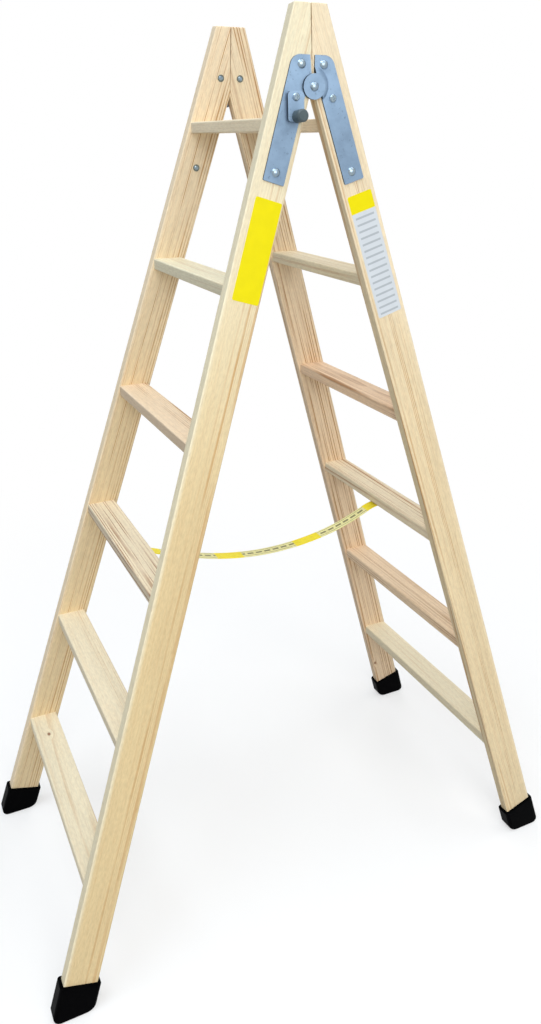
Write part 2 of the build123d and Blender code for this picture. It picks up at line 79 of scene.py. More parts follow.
# The strap's route under the two middle treads, left to right, at y = 0
STRAP_ROUTE = (
    (-0.29845, 0.7256),
    (-0.25645, 0.7256),
    (-0.21245, 0.7096),
    (-0.16145, 0.6926),
    (-0.10745, 0.6780),
    (-0.05345, 0.6690),
    (0.0, 0.6650),
    (0.05345, 0.6666),
    (0.10745, 0.6730),
    (0.16145, 0.6850),
    (0.21245, 0.7036),
    (0.25645, 0.7256),
    (0.29845, 0.7256),
)
STRAP_STEPS = 12

# Half the strap's section from its edge to its middle, in shares of half its width and thickness
STRAP_SECTION = ((1.0, 0.35), (0.985, 0.85), (0.93, 1.0), (0.8, 0.82), (0.0, 0.78))

# The strap's print, in metres and shares of a repeat: plain and printed stretches, dashes and edge rules
PRINT_REPEAT = 0.1762
PRINT_START = 0.0199
PLAIN_SHARE = 0.32
PRINT_SOFTNESS = 0.01
DASH_REPEAT = 0.0188
DASH_RISE, DASH_FALL = (0.10, 0.14), (0.80, 0.84)
DASH_HALF_WIDTH = (0.0026, 0.0030)
RULE_INNER, RULE_OUTER = (0.0076, 0.0079), (0.0087, 0.0090)
MARK_STRENGTH = 0.8

# The strap's weave, in metres, with the painted shade of its hollows, its wear in waves for each metre, and
# its roughness
WARP_WIDTH, WEFT_WIDTH = 0.0016, 0.0024
WEAVE_SPAN, WEAVE_SHADES = (0.0, 0.8), (0.88, 1.0)
WEAR_WAVES = 90
WEAR_SPAN, WEAR_SHADES = (0.2, 0.8), (0.94, 1.04)
WEAVE_GLOSS, WEBBING_ROUGHNESS = -0.12, 0.72

# Each label's ends down its stile from the head, and its sides across from the inner edge
YELLOW_LABEL = (0.186, 0.350), (0.003, 0.050)
WHITE_LABEL = (0.181, 0.393), (0.008, 0.055)
LABEL_CORNER = 0.003
CORNER_STEPS = 5

# How far a label stands off the wood, and the gap behind it
LABEL_LIFT = 0.0002
LABEL_GAP = 0.00003

# The white label's plain band and rules, in shares of the label or a rule's row, and the vinyl's ripples,
# shown with painted light and shade
LABEL_BAND, BAND_SOFTNESS = 0.14, 0.004
LABEL_RULES, LABEL_RULE_STRENGTH = 19, 0.45
LABEL_RULE_RISE, LABEL_RULE_FALL = (0.25, 0.35), (0.55, 0.65)
LABEL_MARGIN = (0.38, 0.40)
RIPPLE_WAVES, VINYL_WAVES = 60, 2200
RIPPLE_SPAN, RIPPLE_SHADES = (0.2, 0.8), (0.97, 1.01)
VINYL_ROUGHNESS = 0.3

# How far the noise of one board lies from that of another, for each unit of seed
SEED_SHIFT = (0.71, 0.33, 1.17)

# Noise in the wood, in waves for each metre across, through and along the board
STRAY_WAVES = (11, 11, 3.4)
FADE_WAVES = (70, 70, 5)
FIBRE_WAVES = (900, 900, 9)
STRAND_WAVES = (280, 280, 6)
DUCT_WAVES = (1300, 1300, 55)
STREAK_WAVES = (60, 60, 3.2)
TONE_WAVES = (22, 22, 2.5)
MOTTLE_WAVES = (380, 380, 90)

# How much of the late wood's colour each kind of mark adds
FIBRE_SHARE, FIBRE_MIDDLE = 0.30, 0.5
STRAND_SHARE, STRAND_MIDDLE = 0.45, 0.45
DUCT_SHARE, DUCT_SPAN = 0.25, (0.70, 0.80)
STREAK_SHARE, STREAK_SPAN = 0.40, (0.52, 0.70)

# Ring lines: uneven years, where in a ring late wood comes and goes, and how the lines fade
UNEVEN_WAVES, UNEVEN_RINGS = 0.6, 1.6
LINE_RISE, LINE_FALL = (0.38, 0.92), (0.95, 1.0)
LINE_SHARPNESS = 1.4
FAINTEST_LINE = 0.25
LINE_FADE, OUTLYING_LINES = (0.3, 1.0), 0.14
FADE_SPAN, FADE_SHARES = (0.36, 0.62), (0.25, 1.40)

# A knot from its middle outwards, in knot sizes, and how much of a distance along the grain counts
KNOT_WOOD, KNOT_SHARE = (0.75, 1.1), 0.85
KNOT_RIM_RISE, KNOT_RIM_FALL, KNOT_RIM_SHARE = (0.6, 0.95), (1.05, 1.6), 0.35
KNOT_REACH, KNOT_SWELL = (0.6, 4.5), 1.3
KNOT_ALONG = 0.62
SMALLEST_KNOT = 0.00001

# Where down its length a board is fully yellowed and darkened with painted shade, the pale strip at a stile's
# outer edge where that painted shade is less, and the width of the painted shade on a tread's front and back
# faces
YELLOWED_AND_SHADED_DOWN = 0.8
PALE_STRIP, PALE_STRIP_AGE = (0.054, 0.061), 0.2
SHADED_EDGE_WIDTH = 0.0012

# Shades, roughness and relief of the wood
TONE_SPAN, TONE_SHADES, MOTTLE_SHADES = (0.25, 0.75), (0.95, 1.03), (0.93, 1.06)
PINE_ROUGHNESS, LATE_GLOSS, FIBRE_ROUGHNESS = 0.46, -0.08, 0.16
KNOT_RELIEF, LATE_RELIEF, FIBRE_RELIEF = 0.4, 0.7, 0.5

# The plating: noise in waves for each metre, how far a cut edge is turned for its dark colour with painted
# shade, and the place round the pin with a painted highlight, in metres
SPECK_WAVES, SPECK_SHARE, SPECK_RELIEF = 1400, 0.3, 0.4
BRUSH_WAVES, BRUSH_ROUGHNESS = (1800, 1800, 60), 0.12
CLOUD_SPAN, CLOUD_ROUGHNESS = (0.35, 0.75), 0.12
PIT_WAVES, PIT_SPAN, PIT_SHADE = 240, (0.64, 0.72), 0.72
CUT_TURN = (0.4, 0.85)
PIN_HIGHLIGHT_PLACE = (0.030, 0.095)

# Moulded rubber and plastic: pores and dust, with noise in waves for each metre
PORE_WAVES, PORE_ROUGHNESS = 2600, 0.1
DUST_WAVES, DUST_SPAN, DUST_ROUGHNESS = 55, (0.45, 0.8), 0.22

# Where the lamps stand, what they face and how wide they are, in metres
LAMP_AIM = Vector((0, 0, 0.9))
KEY_PLACE = (-0.9, -5.0, 3.0)
SKY_PLACE = (-3.3, -1.0, 8.1)
TOP_PLACE = (2.9, -0.8, 8.5)
BACK_PLACE = (2.4, 4.6, 1.0)
LAMP_SIZE, BACK_LAMP_SIZE = 5.0, 3.0

# Half the floor's width, and how its shadows whiten with the distance from the ladder's middle
FLOOR_REACH = 40.0
SHADOW_FADE, SHADOW_WHITENING = (0.6, 2.2), 0.5

# Colours of light
WHITE = (1.0, 1.0, 1.0)
WARM_WHITE = (1.0, 0.985, 0.95)
SKY_BLUE = (0.82, 0.91, 1.0)
PALE_BLUE = (0.94, 0.97, 1.0)


class Board(NamedTuple):
    """How one board was cut from its log, what its own wood is like, and how much painted shade it gets."""

    pith: tuple             # the log's middle: across the board and through it
    rings: float            # width of a year's growth
    warmth: float           # 0 for pale wood, 1 for the reddest, less than 0 for the whitest
    seed: float
    lines: float = 0.6      # strength of the ring lines
    place: float = 0.0      # where across the board they are strongest
    reach: float = 0.2      # how far from there they fade
    wander: float = 1.0     # how much more than usual they stray
    streak: float = 0.0     # strength of the heartwood streaks
    yellow: float = 0.0     # how far the wood turns yellower and darker towards the board's far end: its own tone with painted shade
    tan: float = 0.0        # how brown its lines are and how warm its far end, or 0 for plain yellowing
    knot: tuple = (0, 0)    # a knot's place across and along the board
    knot_size: float = 0.0
    edge_shade: float = 0.04      # how much painted shade darkens its front and back faces


# Stiles: across from the inner edge, inwards from the outer face and down from the head
STILES = {
    "stile_near_left": Board(
        pith=(0.095, 0.036), rings=0.0046, warmth=-0.20, seed=1.3,
        lines=0.70, place=0.004, reach=0.030, yellow=1.0,
    ),
    "stile_near_right": Board(
        pith=(0.100, 0.030), rings=0.0046, warmth=0.05, seed=4.7,
        lines=1.15, place=0.010, reach=0.048, yellow=0.55,
    ),
    "stile_far_left": Board(
        pith=(0.110, -0.020), rings=0.0050, warmth=0.16, seed=7.9,
        lines=1.90, place=0.002, reach=0.060, yellow=0.65,
    ),
    "stile_far_right": Board(
        pith=(-0.050, 0.060), rings=0.0054, warmth=0.12, seed=12.4,
        lines=1.10, place=0.036, reach=0.070, wander=1.8, streak=0.4, yellow=1.0, tan=0.38,
        knot=(0.007, 1.498), knot_size=0.0026,
    ),
}

# Treads: across from the middle, from left to right, up from the middle and along to the far side
TREADS = {
    "tread_left_1": Board(
        pith=(0.020, -0.090), rings=0.0060, warmth=-0.05, seed=21.1,
        lines=0.35, knot=(-0.002, 0.171), knot_size=0.0030,
    ),
    "tread_left_2": Board(
        pith=(-0.080, -0.030), rings=0.0044, warmth=0.00, seed=23.6,
        lines=0.50, place=0.022, reach=0.030, edge_shade=0.16,
    ),
    "tread_left_3": Board(
        pith=(0.070, -0.040), rings=0.0054, warmth=0.05, seed=25.2,
        lines=2.20, place=-0.018, reach=0.040, tan=0.8, edge_shade=0.24,
    ),
    "tread_left_4": Board(
        pith=(-0.080, -0.020), rings=0.0040, warmth=0.40, seed=27.9,
        lines=1.10, place=0.020, reach=0.032, edge_shade=0.26,
    ),
    "tread_left_5": Board(pith=(0.010, -0.060), rings=0.0070, warmth=-0.25, seed=29.4, lines=0.40, edge_shade=0.18),
    "tread_left_6": Board(pith=(0.050, -0.060), rings=0.0060, warmth=0.05, seed=31.8, lines=0.25),
    "tread_right_1": Board(pith=(-0.060, -0.070), rings=0.0060, warmth=-0.10, seed=41.5, lines=0.30),
    "tread_right_2": Board(
        pith=(-0.060, -0.030), rings=0.0042, warmth=0.44, seed=43.2,
        lines=0.80, streak=0.8,
    ),
    "tread_right_3": Board(
        pith=(0.070, -0.030), rings=0.0045, warmth=0.03, seed=45.7,
        lines=0.80, tan=0.4,
    ),
    "tread_right_4": Board(
        pith=(0.004, -0.026), rings=0.0042, warmth=0.62, seed=47.3,
        lines=0.80, wander=3.0, streak=0.6,
    ),
    "tread_right_5": Board(pith=(0.050, -0.060), rings=0.0052, warmth=-0.10, seed=49.9, lines=0.35),
    "tread_right_6": Board(pith=(-0.050, -0.060), rings=0.0050, warmth=0.20, seed=51.4, lines=0.40),
}

ZINC_NODES = (
    "hinge_leaf_near_left", "hinge_leaf_near_right", "hinge_leaf_far_left", "hinge_leaf_far_right",
    "catch_plate", "catch_bush",
)
BRIGHT_NODES = (
    "hinge_pins", "leaf_rivets_left", "leaf_rivets_right",
    "wood_screws_left", "wood_screws_right", "catch_screw",
)
WASHER_NODES = ("rivet_washers_left", "rivet_washers_right", "strap_washer_left", "strap_washer_right")
FOOT_NODES = ("foot_near_left", "foot_near_right", "foot_far_left", "foot_far_right")


def srgb(red, green, blue):
    """Linear colour of a display colour given from 0 to 255."""
    def linear(value):
        share = value / 255
        return share / 12.92 if share <= 0.04045 else ((share + 0.055) / 1.055) ** 2.4
    return linear(red), linear(green), linear(blue)


def colour_prop(name, description, default):
    """A colour that the user may change."""
    return FloatVectorProperty(
        name=name, description=description, subtype="COLOR", size=3, min=0, max=1, default=default,
    )


class PineFinish(bpy.types.PropertyGroup):
    """Colours and surface of the boards."""

    early: colour_prop("Early wood", "Pale wood between the ring lines", srgb(243, 229, 199))
    early_warm: colour_prop("Early wood, warm", "The same in the reddest boards", srgb(244, 203, 168))
    late: colour_prop("Late wood", "Ring lines of the palest boards", srgb(205, 164, 112))
    late_warm: colour_prop("Late wood, warm", "Ring lines of the reddest boards", srgb(160, 110, 80))
    # The far end's colour: the wood's own yellowing, darkened with painted shade
    aged_and_shaded: colour_prop("Aged wood", "Yellowed early wood", srgb(228, 206, 160))
    knot: colour_prop("Knots", "Wood of the knots", srgb(140, 88, 52))
    wander: FloatProperty(
        name="Wander", description="How far the ring lines stray sideways", unit="LENGTH",
        min=0, default=0.0030,
    )
    taper: FloatProperty(
        name="Taper", description="Growth of the log's radius for each metre along it", min=0, default=0.005,
    )


class MetalFinish(bpy.types.PropertyGroup):
    """Colours of the hinges, fasteners and knob."""

    zinc: colour_prop("Zinc", "Blue-grey plating of the hinge leaves", srgb(126, 149, 173))
    zinc_dull: colour_prop("Dull zinc", "Clouded patches of the plating", srgb(115, 137, 160))
    # Dark bare steel of the cut edges, with painted shade in it
    cut_edge_and_shade: colour_prop("Cut edge", "Dark cut edges of the sheet", srgb(26, 32, 38))
    bright: colour_prop("Bright steel", "Pins, rivets and screws", srgb(150, 165, 172))
    dull: colour_prop("Dull steel", "Washers", srgb(84, 90, 84))
    dull_clear: colour_prop("Dull steel, rubbed", "Brighter patches of the washers", srgb(128, 134, 126))
    knob: colour_prop("Knob", "Moulded knob of the catch", srgb(62, 78, 84))
    knob_dust: colour_prop("Knob, dusty", "Dusty patches of the knob", srgb(110, 114, 116))


class SoftFinish(bpy.types.PropertyGroup):
    """Colours and sizes of the strap, feet and labels."""

    strap_width: FloatProperty(
        name="Strap width", description="Width of the webbing", unit="LENGTH", min=0.005, default=0.025,
    )
    strap_thick: FloatProperty(
        name="Strap thickness", description="Thickness of the webbing", unit="LENGTH", min=0.0005,
        default=0.0018,
    )
    strap: colour_prop("Strap", "Plain stretches of the webbing", srgb(254, 234, 30))
    strap_pale: colour_prop("Strap, pale", "Printed stretches of the webbing", srgb(244, 238, 170))
    strap_mark: colour_prop("Strap marks", "Dashes on the printed stretches", srgb(70, 72, 40))
    rubber: colour_prop("Rubber", "Moulded feet", srgb(2, 2, 3))
    rubber_dust: colour_prop("Rubber, dusty", "Dusty patches of the feet", srgb(14, 14, 15))
    label_yellow: colour_prop("Yellow label", "Blank label on the left stile", srgb(240, 226, 4))
    label_white: colour_prop("White label", "Blank label on the right stile", srgb(214, 221, 229))
    label_rule: colour_prop("Label rules", "Rules on the white label", srgb(120, 132, 142))


class StageSettings(bpy.types.PropertyGroup):
    """Camera and light."""

    camera_place: FloatVectorProperty(
        name="Camera", description="Where the camera stands", subtype="TRANSLATION", unit="LENGTH", size=3,
        default=(-0.6696, -1.4142, 1.4608),
    )
    camera_heading: FloatProperty(
        name="Heading", description="Turn of the camera to the right of straight ahead", subtype="ANGLE",
        default=math.radians(25.70),
    )
    camera_tilt: FloatProperty(
        name="Tilt", description="How far the camera looks down", subtype="ANGLE",
        default=math.radians(17.95),
    )
    focal_pixels: FloatProperty(
        name="Focal length", description="Focal length in pixels of the photograph", subtype="PIXEL",
        default=848.2,
    )
    middle_row: FloatProperty(
        name="Middle row", description="Row of the photograph that the lens points at", subtype="PIXEL",
        default=416.9,
    )
    key_power: FloatProperty(
        name="Key light", description="Large soft light in front, above the ladder", unit="POWER",
        default=242,
    )
    sky_power: FloatProperty(
        name="Sky light", description="Large cool light high on the left", unit="POWER", default=368,
    )
    top_power: FloatProperty(
        name="Top light", description="Large light overhead on the right", unit="POWER", default=185,
    )
    back_power: FloatProperty(
        name="Back light", description="Large soft light behind, on the right", unit="POWER", default=140,
    )
    ambient: FloatProperty(
        name="Ambient", description="Even light from all round", min=0, default=0.22,
    )
    floor: colour_prop("Floor", "Pale floor as the camera sees it", (0.95, 0.95, 0.95))
    floor_bounce: colour_prop("Floor bounce", "Light that the floor sends back up", (0.33, 0.32, 0.30))


def add(tree, kind, inputs=None, **settings):
    """A new node, with each named input set to a value or linked to a socket."""
    made = tree.nodes.new(kind)
    for name, value in settings.items():
        setattr(made, name, value)
    for name, value in (inputs or {}).items():
        if isinstance(value, bpy.types.NodeSocket):
            tree.links.new(value, made.inputs[name])
        else:
            made.inputs[name].default_value = value
    return made


def maths(tree, operation, *values):
    """Output of a Math node."""
    return add(tree, "ShaderNodeMath", dict(enumerate(values)), operation=operation).outputs[0]


def vectors(tree, operation, *values, out="Vector"):
    """Output of a Vector Math node."""
    return add(tree, "ShaderNodeVectorMath", dict(enumerate(values)), operation=operation).outputs[out]


def ease(tree, value, start, end, low=0.0, high=1.0):
    """A value that goes smoothly from low to high between two places."""
    inputs = {"Value": value, "From Min": start, "From Max": end, "To Min": low, "To Max": high}
    return add(tree, "ShaderNodeMapRange", inputs, interpolation_type="SMOOTHSTEP").outputs["Result"]


def plateau(tree, value, rise, fall):
    """1 between a rise and a fall and 0 outside them, with soft edges."""
    return maths(tree, "MULTIPLY", ease(tree, value, *rise), ease(tree, value, *fall, 1.0, 0.0))


def clamp(tree, value):
    """A value kept from 0 to 1."""
    return add(tree, "ShaderNodeClamp", {0: value}).outputs[0]


def scaled(tree, vector, amount):
    """A vector or colour times a value."""
    made = vectors(tree, "SCALE", vector)
    tree.links.new(amount, made.node.inputs["Scale"])
    return made


def mix(tree, share, first, second):
    """Colour between two colours."""
    made = add(tree, "ShaderNodeMix", data_type="RGBA")
    for name, value in (("Factor_Float", share), ("A_Color", first), ("B_Color", second)):
        socket = next(entry for entry in made.inputs if entry.identifier == name)
        if isinstance(value, bpy.types.NodeSocket):
            tree.links.new(value, socket)
        elif name == "Factor_Float":
            socket.default_value = value
        else:
            socket.default_value = (*value[:3], 1.0)
    return next(entry for entry in made.outputs if entry.identifier == "Result_Color")


def noise(tree, place, scale, detail=2.0, roughness=0.5, out="Fac"):
    """Output of a Noise Texture at a place."""
    inputs = {"Vector": place, "Scale": scale, "Detail": detail, "Roughness": roughness}
    return add(tree, "ShaderNodeTexNoise", inputs, noise_dimensions="3D").outputs[out]


def drawn_noise(tree, place, waves, detail=2.0, roughness=0.5, out="Fac"):
    """Noise that is drawn out, with its own number of waves for each metre along each axis."""
    return noise(tree, vectors(tree, "MULTIPLY", place, waves), 1.0, detail, roughness, out)


def bump(tree, height, strength, distance):
    """Normals of a surface with a relief."""
    inputs = {"Height": height, "Strength": strength, "Distance": distance}
    return add(tree, "ShaderNodeBump", inputs).outputs["Normal"]


def new_group(name, inputs, outputs):
    """An empty shader node group, with its input and output nodes."""
    tree = bpy.data.node_groups.new(name, "ShaderNodeTree")
    for label, kind, default in inputs:
        socket = tree.interface.new_socket(label, in_out="INPUT", socket_type=f"NodeSocket{kind}")
        socket.default_value = default
    for label, kind in outputs:
        tree.interface.new_socket(label, in_out="OUTPUT", socket_type=f"NodeSocket{kind}")
    return tree, add(tree, "NodeGroupInput").outputs, add(tree, "NodeGroupOutput").inputs


def new_material(name):
    """A material with only a Principled BSDF and its output."""
    made = bpy.data.materials.new(name)
    made.use_nodes = True
    return made, made.node_tree, made.node_tree.nodes["Principled BSDF"]


def feed(tree, shader, **sockets):
    """Link outputs to a shader's inputs, with underscores for the spaces in their names."""
    for name, value in sockets.items():
        tree.links.new(value, shader.inputs[name.replace("_", " ")])


def lay(tree, shader, group, values, strength, distance):
    """Set a group's inputs, and lay its colour, roughness and relief on a shader."""
    made = add(tree, "ShaderNodeGroup", values, node_tree=group).outputs
    normal = bump(tree, made["Height"], strength, distance)
    feed(tree, shader, Base_Color=made["Color"], Roughness=made["Roughness"], Normal=normal)


def map_place(tree, name):
    """Places across and along a surface, from its map of that name."""
    place = add(tree, "ShaderNodeUVMap", uv_map=name).outputs["UV"]
    return add(tree, "ShaderNodeSeparateXYZ", {0: place}).outputs


def object_place(tree):
    """The surface's place in the ladder's own frame."""
    return add(tree, "ShaderNodeTexCoord").outputs["Object"]


def dress(node, material):
    """Give a node of the construction its finish."""
    mesh = NODES[node].data
    mesh.materials.clear()
    mesh.materials.append(material)


def pine_group():
    """Growth rings of a board that is cut from a tapered log, with fibres, streaks, tone and a knot, and
    painted shade down its length and on its end faces.
    """
    if "Pine Grain" in bpy.data.node_groups:
        return bpy.data.node_groups["Pine Grain"]
    tree, given, result = new_group(
        "Pine Grain",
        [
            ("Board", "Vector", (0, 0, 0)), ("Pith", "Vector", (0, 0, 0)), ("Ring Width", "Float", 0.004),
            ("Wander", "Float", 0.002), ("Taper", "Float", 0.005), ("Seed", "Float", 0.0),
            ("Lines", "Float", 0.6), ("Line Place", "Float", 0.0), ("Line Reach", "Float", 0.2),
            ("Streaks", "Float", 0.0), ("Yellowing And Shade", "Float", 0.0), ("Edge Place", "Float", 1.0),
            ("Edge Shade", "Float", 0.0),
            ("Knot", "Vector", (0, 0, 0)), ("Knot Size", "Float", 0.0),
            ("Early", "Color", (0.8, 0.7, 0.5, 1)), ("Late", "Color", (0.6, 0.4, 0.2, 1)),
            ("Aged And Shaded", "Color", (0.7, 0.6, 0.3, 1)), ("Knot Wood", "Color", (0.3, 0.15, 0.05, 1)),
        ],
        [("Color", "Color"), ("Roughness", "Float"), ("Height", "Float")],
    )
    board = given["Board"]
    spot = add(tree, "ShaderNodeSeparateXYZ", {0: board}).outputs
    place = vectors(tree, "ADD", board, scaled(tree, SEED_SHIFT, given["Seed"]))

    # How near the knot a point is, in knot sizes, along the grain less than across it
    from_knot = vectors(tree, "MULTIPLY", vectors(tree, "SUBTRACT", board, given["Knot"]), (1, 0, KNOT_ALONG))
    knot_size = maths(tree, "MAXIMUM", given["Knot Size"], SMALLEST_KNOT)
    knot_away = maths(tree, "DIVIDE", vectors(tree, "LENGTH", from_knot, out="Value"), knot_size)
    knot_mask = ease(tree, knot_away, *KNOT_WOOD, 1.0, 0.0)
    knot_rim = plateau(tree, knot_away, KNOT_RIM_RISE, KNOT_RIM_FALL)
    knot_swell = ease(tree, knot_away, *KNOT_REACH, KNOT_SWELL, 0.0)
    knot_swell = maths(tree, "MULTIPLY", knot_swell, given["Knot Size"])

    # The log's rings, a little out of true along its length and bent round the knot
    stray = drawn_noise(tree, place, STRAY_WAVES, 3.0, out="Color")
    stray = vectors(tree, "SUBTRACT", stray, (0.5, 0.5, 0.5))
    strayed = vectors(tree, "ADD", board, scaled(tree, stray, given["Wander"]))
    from_pith = vectors(tree, "SUBTRACT", strayed, given["Pith"])
    radius = vectors(tree, "LENGTH", vectors(tree, "MULTIPLY", from_pith, (1, 1, 0)), out="Value")
    radius = maths(tree, "MULTIPLY_ADD", spot["Z"], given["Taper"], radius)
    count = maths(tree, "DIVIDE", maths(tree, "ADD", radius, knot_swell), given["Ring Width"])
    seeded = maths(tree, "ADD", count, given["Seed"])
    years = {"W": seeded, "Scale": UNEVEN_WAVES, "Detail": 1.0}
    uneven = add(tree, "ShaderNodeTexNoise", years, noise_dimensions="1D").outputs["Fac"]
    count = maths(tree, "MULTIPLY_ADD", uneven, UNEVEN_RINGS, count)

    # Early wood darkens into a thin line of late wood, which ends sharply
    within = maths(tree, "FRACT", count)
    rise = maths(tree, "POWER", ease(tree, within, *LINE_RISE), LINE_SHARPNESS)
    line = maths(tree, "MULTIPLY", rise, ease(tree, within, *LINE_FALL, 1.0, 0.0))
    year = maths(tree, "ADD", maths(tree, "FLOOR", count), given["Seed"])
    chance = add(tree, "ShaderNodeTexWhiteNoise", {"W": year}, noise_dimensions="1D").outputs["Value"]
    line = maths(tree, "MULTIPLY", line, ease(tree, chance, 0.0, 1.0, FAINTEST_LINE, 1.0))
    off_place = maths(tree, "ABSOLUTE", maths(tree, "SUBTRACT", spot["X"], given["Line Place"]))
    off_place = maths(tree, "DIVIDE", off_place, given["Line Reach"])
    near_place = ease(tree, off_place, *LINE_FADE, 1.0, OUTLYING_LINES)
    fading = drawn_noise(tree, place, FADE_WAVES)
    line = maths(tree, "MULTIPLY", line, ease(tree, fading, *FADE_SPAN, *FADE_SHARES))
    late = maths(tree, "MULTIPLY", maths(tree, "MULTIPLY", line, near_place), given["Lines"])

    # Fibres, short resin ducts, heartwood streaks and slow changes of tone
    fibre = drawn_noise(tree, place, FIBRE_WAVES, 3.0, 0.6)
    strands = drawn_noise(tree, place, STRAND_WAVES, 2.0, 0.6)
    ducts = ease(tree, drawn_noise(tree, place, DUCT_WAVES, 0.0), *DUCT_SPAN)
    streak = ease(tree, drawn_noise(tree, place, STREAK_WAVES), *STREAK_SPAN)
    streak = maths(tree, "MULTIPLY", streak, given["Streaks"])
    tone = ease(tree, drawn_noise(tree, place, TONE_WAVES), *TONE_SPAN, *TONE_SHADES)
    mottle = ease(tree, drawn_noise(tree, place, MOTTLE_WAVES, 2.0, 0.6), *TONE_SPAN, *MOTTLE_SHADES)

    # The colour, yellower by its own tone and darker by painted shade down the board, darker in a knot, and
    # with painted shade on a tread's front and back faces
    yellowing_and_shade = maths(tree, "MULTIPLY", ease(tree, spot["Z"], 0.0, YELLOWED_AND_SHADED_DOWN), given["Yellowing And Shade"])
    yellowing_and_shade = maths(tree, "MULTIPLY", yellowing_and_shade, ease(tree, spot["X"], *PALE_STRIP, 1.0, PALE_STRIP_AGE))
    share = maths(tree, "MULTIPLY_ADD", maths(tree, "SUBTRACT", fibre, FIBRE_MIDDLE), FIBRE_SHARE, late)
    share = maths(tree, "MULTIPLY_ADD", maths(tree, "SUBTRACT", strands, STRAND_MIDDLE), STRAND_SHARE, share)
    share = maths(tree, "MULTIPLY_ADD", ducts, DUCT_SHARE, share)
    share = clamp(tree, maths(tree, "MULTIPLY_ADD", streak, STREAK_SHARE, share))
    colour = mix(tree, share, mix(tree, yellowing_and_shade, given["Early"], given["Aged And Shaded"]), given["Late"])
    dark = clamp(tree, maths(tree, "MULTIPLY_ADD", knot_rim, KNOT_RIM_SHARE, knot_mask))
    colour = mix(tree, maths(tree, "MULTIPLY", dark, KNOT_SHARE), colour, given["Knot Wood"])
    # Painted shade: a tread's front and back faces, and the strip of its top and bottom next to them, are
    # darker
    edge_start = maths(tree, "SUBTRACT", given["Edge Place"], SHADED_EDGE_WIDTH)
    painted_edge_shading = ease(tree, maths(tree, "ABSOLUTE", spot["X"]), edge_start, given["Edge Place"])
    painted_edge_shading = maths(tree, "SUBTRACT", 1.0, maths(tree, "MULTIPLY", painted_edge_shading, given["Edge Shade"]))
    shading = maths(tree, "MULTIPLY", maths(tree, "MULTIPLY", tone, mottle), painted_edge_shading)

    smooth = maths(tree, "MULTIPLY_ADD", late, LATE_GLOSS, PINE_ROUGHNESS)
    relief = maths(tree, "MULTIPLY_ADD", knot_mask, KNOT_RELIEF, maths(tree, "MULTIPLY", late, LATE_RELIEF))
    tree.links.new(scaled(tree, colour, shading), result["Color"])
    tree.links.new(maths(tree, "MULTIPLY_ADD", fibre, FIBRE_ROUGHNESS, smooth), result["Roughness"])
    tree.links.new(maths(tree, "MULTIPLY_ADD", fibre, FIBRE_RELIEF, relief), result["Height"])
    return tree


def between(first, second, share):
    """A colour between two colours."""
    return tuple(a + (b - a) * share for a, b in zip(first, second)) + (1.0,)


def pine_material(name, board, origin, across, through, along, edge=1.0):
    """The finish of one board, from its origin and axes, with painted shade on its faces at a distance across
    it.
    """
    finish = bpy.context.scene.ladder_pine
    made, tree, shader = new_material(f"pine_{name}")
    handed = round(across.cross(through).dot(along))
    turn = Matrix((across * handed, through, along)).transposed().to_euler()
    mapping = add(
        tree, "ShaderNodeMapping",
        {"Vector": object_place(tree), "Location": origin, "Rotation": turn, "Scale": (handed, 1, 1)},
        vector_type="TEXTURE",
    )
    knot_across, knot_along = board.knot
    values = {
        "Board": mapping.outputs["Vector"], "Pith": (*board.pith, 0), "Ring Width": board.rings,
        "Wander": finish.wander * board.wander, "Taper": finish.taper, "Seed": board.seed,
        "Lines": board.lines, "Line Place": board.place, "Line Reach": board.reach,
        "Streaks": board.streak, "Yellowing And Shade": board.yellow, "Edge Place": edge, "Edge Shade": board.edge_shade,
        "Knot": (knot_across, 0, knot_along), "Knot Size": board.knot_size,
        "Early": between(finish.early, finish.early_warm, board.warmth),
        "Late": between(finish.late, finish.late_warm, max(board.warmth, board.tan)),
        "Aged And Shaded": between(finish.early, finish.early_warm, board.tan) if board.tan else (*finish.aged_and_shaded, 1),
        "Knot Wood": (*finish.knot, 1),
    }
    lay(tree, shader, pine_group(), values, strength=0.22, distance=0.0004)
    shader.inputs["Specular IOR Level"].default_value = 0.3
    return made


def stile_axes(node):
    """Origin and axes of a stile: across from its inner edge, inwards from its outer face, and down."""
    side = Vector((-1 if "left" in node else 1, -1 if "near" in node else 1, 1))
    up_face = Vector((0, -math.sin(SPLAY), math.cos(SPLAY)))
    origin = Vector((0, HALF_HEAD, PIN_HEIGHT)) + MITRE_OVER_PIN * up_face
    across = math.cos(FACE_LEAN) * Vector((1, 0, 0)) + math.sin(FACE_LEAN) * up_face
    inward = Vector((0, -math.cos(SPLAY), -math.sin(SPLAY)))
    down = math.sin(FACE_LEAN) * Vector((1, 0, 0)) - math.cos(FACE_LEAN) * up_face
    return tuple(part * side for part in (origin, across, inward, down))


class STEPLADDER_OT_stiles(bpy.types.Operator):
    """Give the four stiles their pine, each with the grain down its own length"""

    bl_idname = "stepladder.stiles"
    bl_label = "Finish stiles"

    def execute(self, context):
        for node, board in STILES.items():
            dress(node, pine_material(node, board, *stile_axes(node)))
        return {"FINISHED"}


class STEPLADDER_OT_treads(bpy.types.Operator):
    """Give the twelve treads their pine, each with the grain across the ladder"""

    bl_idname = "stepladder.treads"
    bl_label = "Finish treads"

    def execute(self, context):
        for node, board in TREADS.items():
            low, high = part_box(node)
            axes = Vector((1, 0, 0)), Vector((0, 0, 1)), Vector((0, 1, 0))
            dress(node, pine_material(node, board, (low + high) / 2, *axes, edge=(high.x - low.x) / 2))
        return {"FINISHED"}


